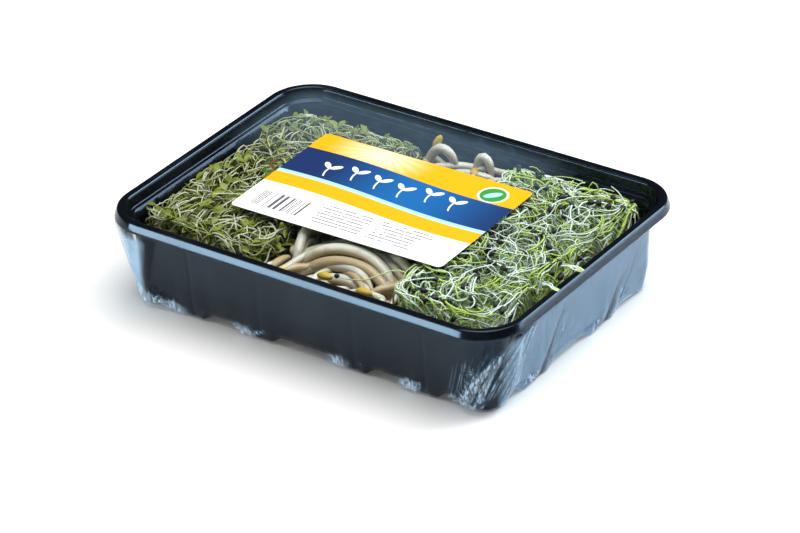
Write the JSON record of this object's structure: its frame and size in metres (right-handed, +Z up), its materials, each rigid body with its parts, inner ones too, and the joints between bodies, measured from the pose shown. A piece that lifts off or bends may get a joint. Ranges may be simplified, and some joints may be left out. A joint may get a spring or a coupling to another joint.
{
  "type": "packed tray of mixed sprouts",
  "caption": "Low black plastic tray with rounded corners, filled with three beds of fresh sprouts, wrapped in clear film with a printed label on top.",
  "frame": {"origin": "centre of the footprint, on the surface that the packed tray stands on", "axes": "+X along the tray's length, +Y across it, +Z up through the label"},
  "size_m": [0.1882, 0.1384, 0.0421],
  "materials": {
    "tray_plastic": "glossy black thermoformed sheet",
    "clear_film": "clear stretched film",
    "printed_label": "coated printed paper",
    "clover_sprouts": "soft fresh stems and leaves",
    "mung_sprouts": "moist translucent stems",
    "leek_sprouts": "fine moist threads"
  },
  "bodies": {
    "root": {"tray": "tray_plastic", "film": "clear_film", "label": "printed_label", "clover_sprouts": "clover_sprouts", "mung_sprouts": "mung_sprouts", "leek_sprouts": "leek_sprouts"}
  },
  "joints": []
}
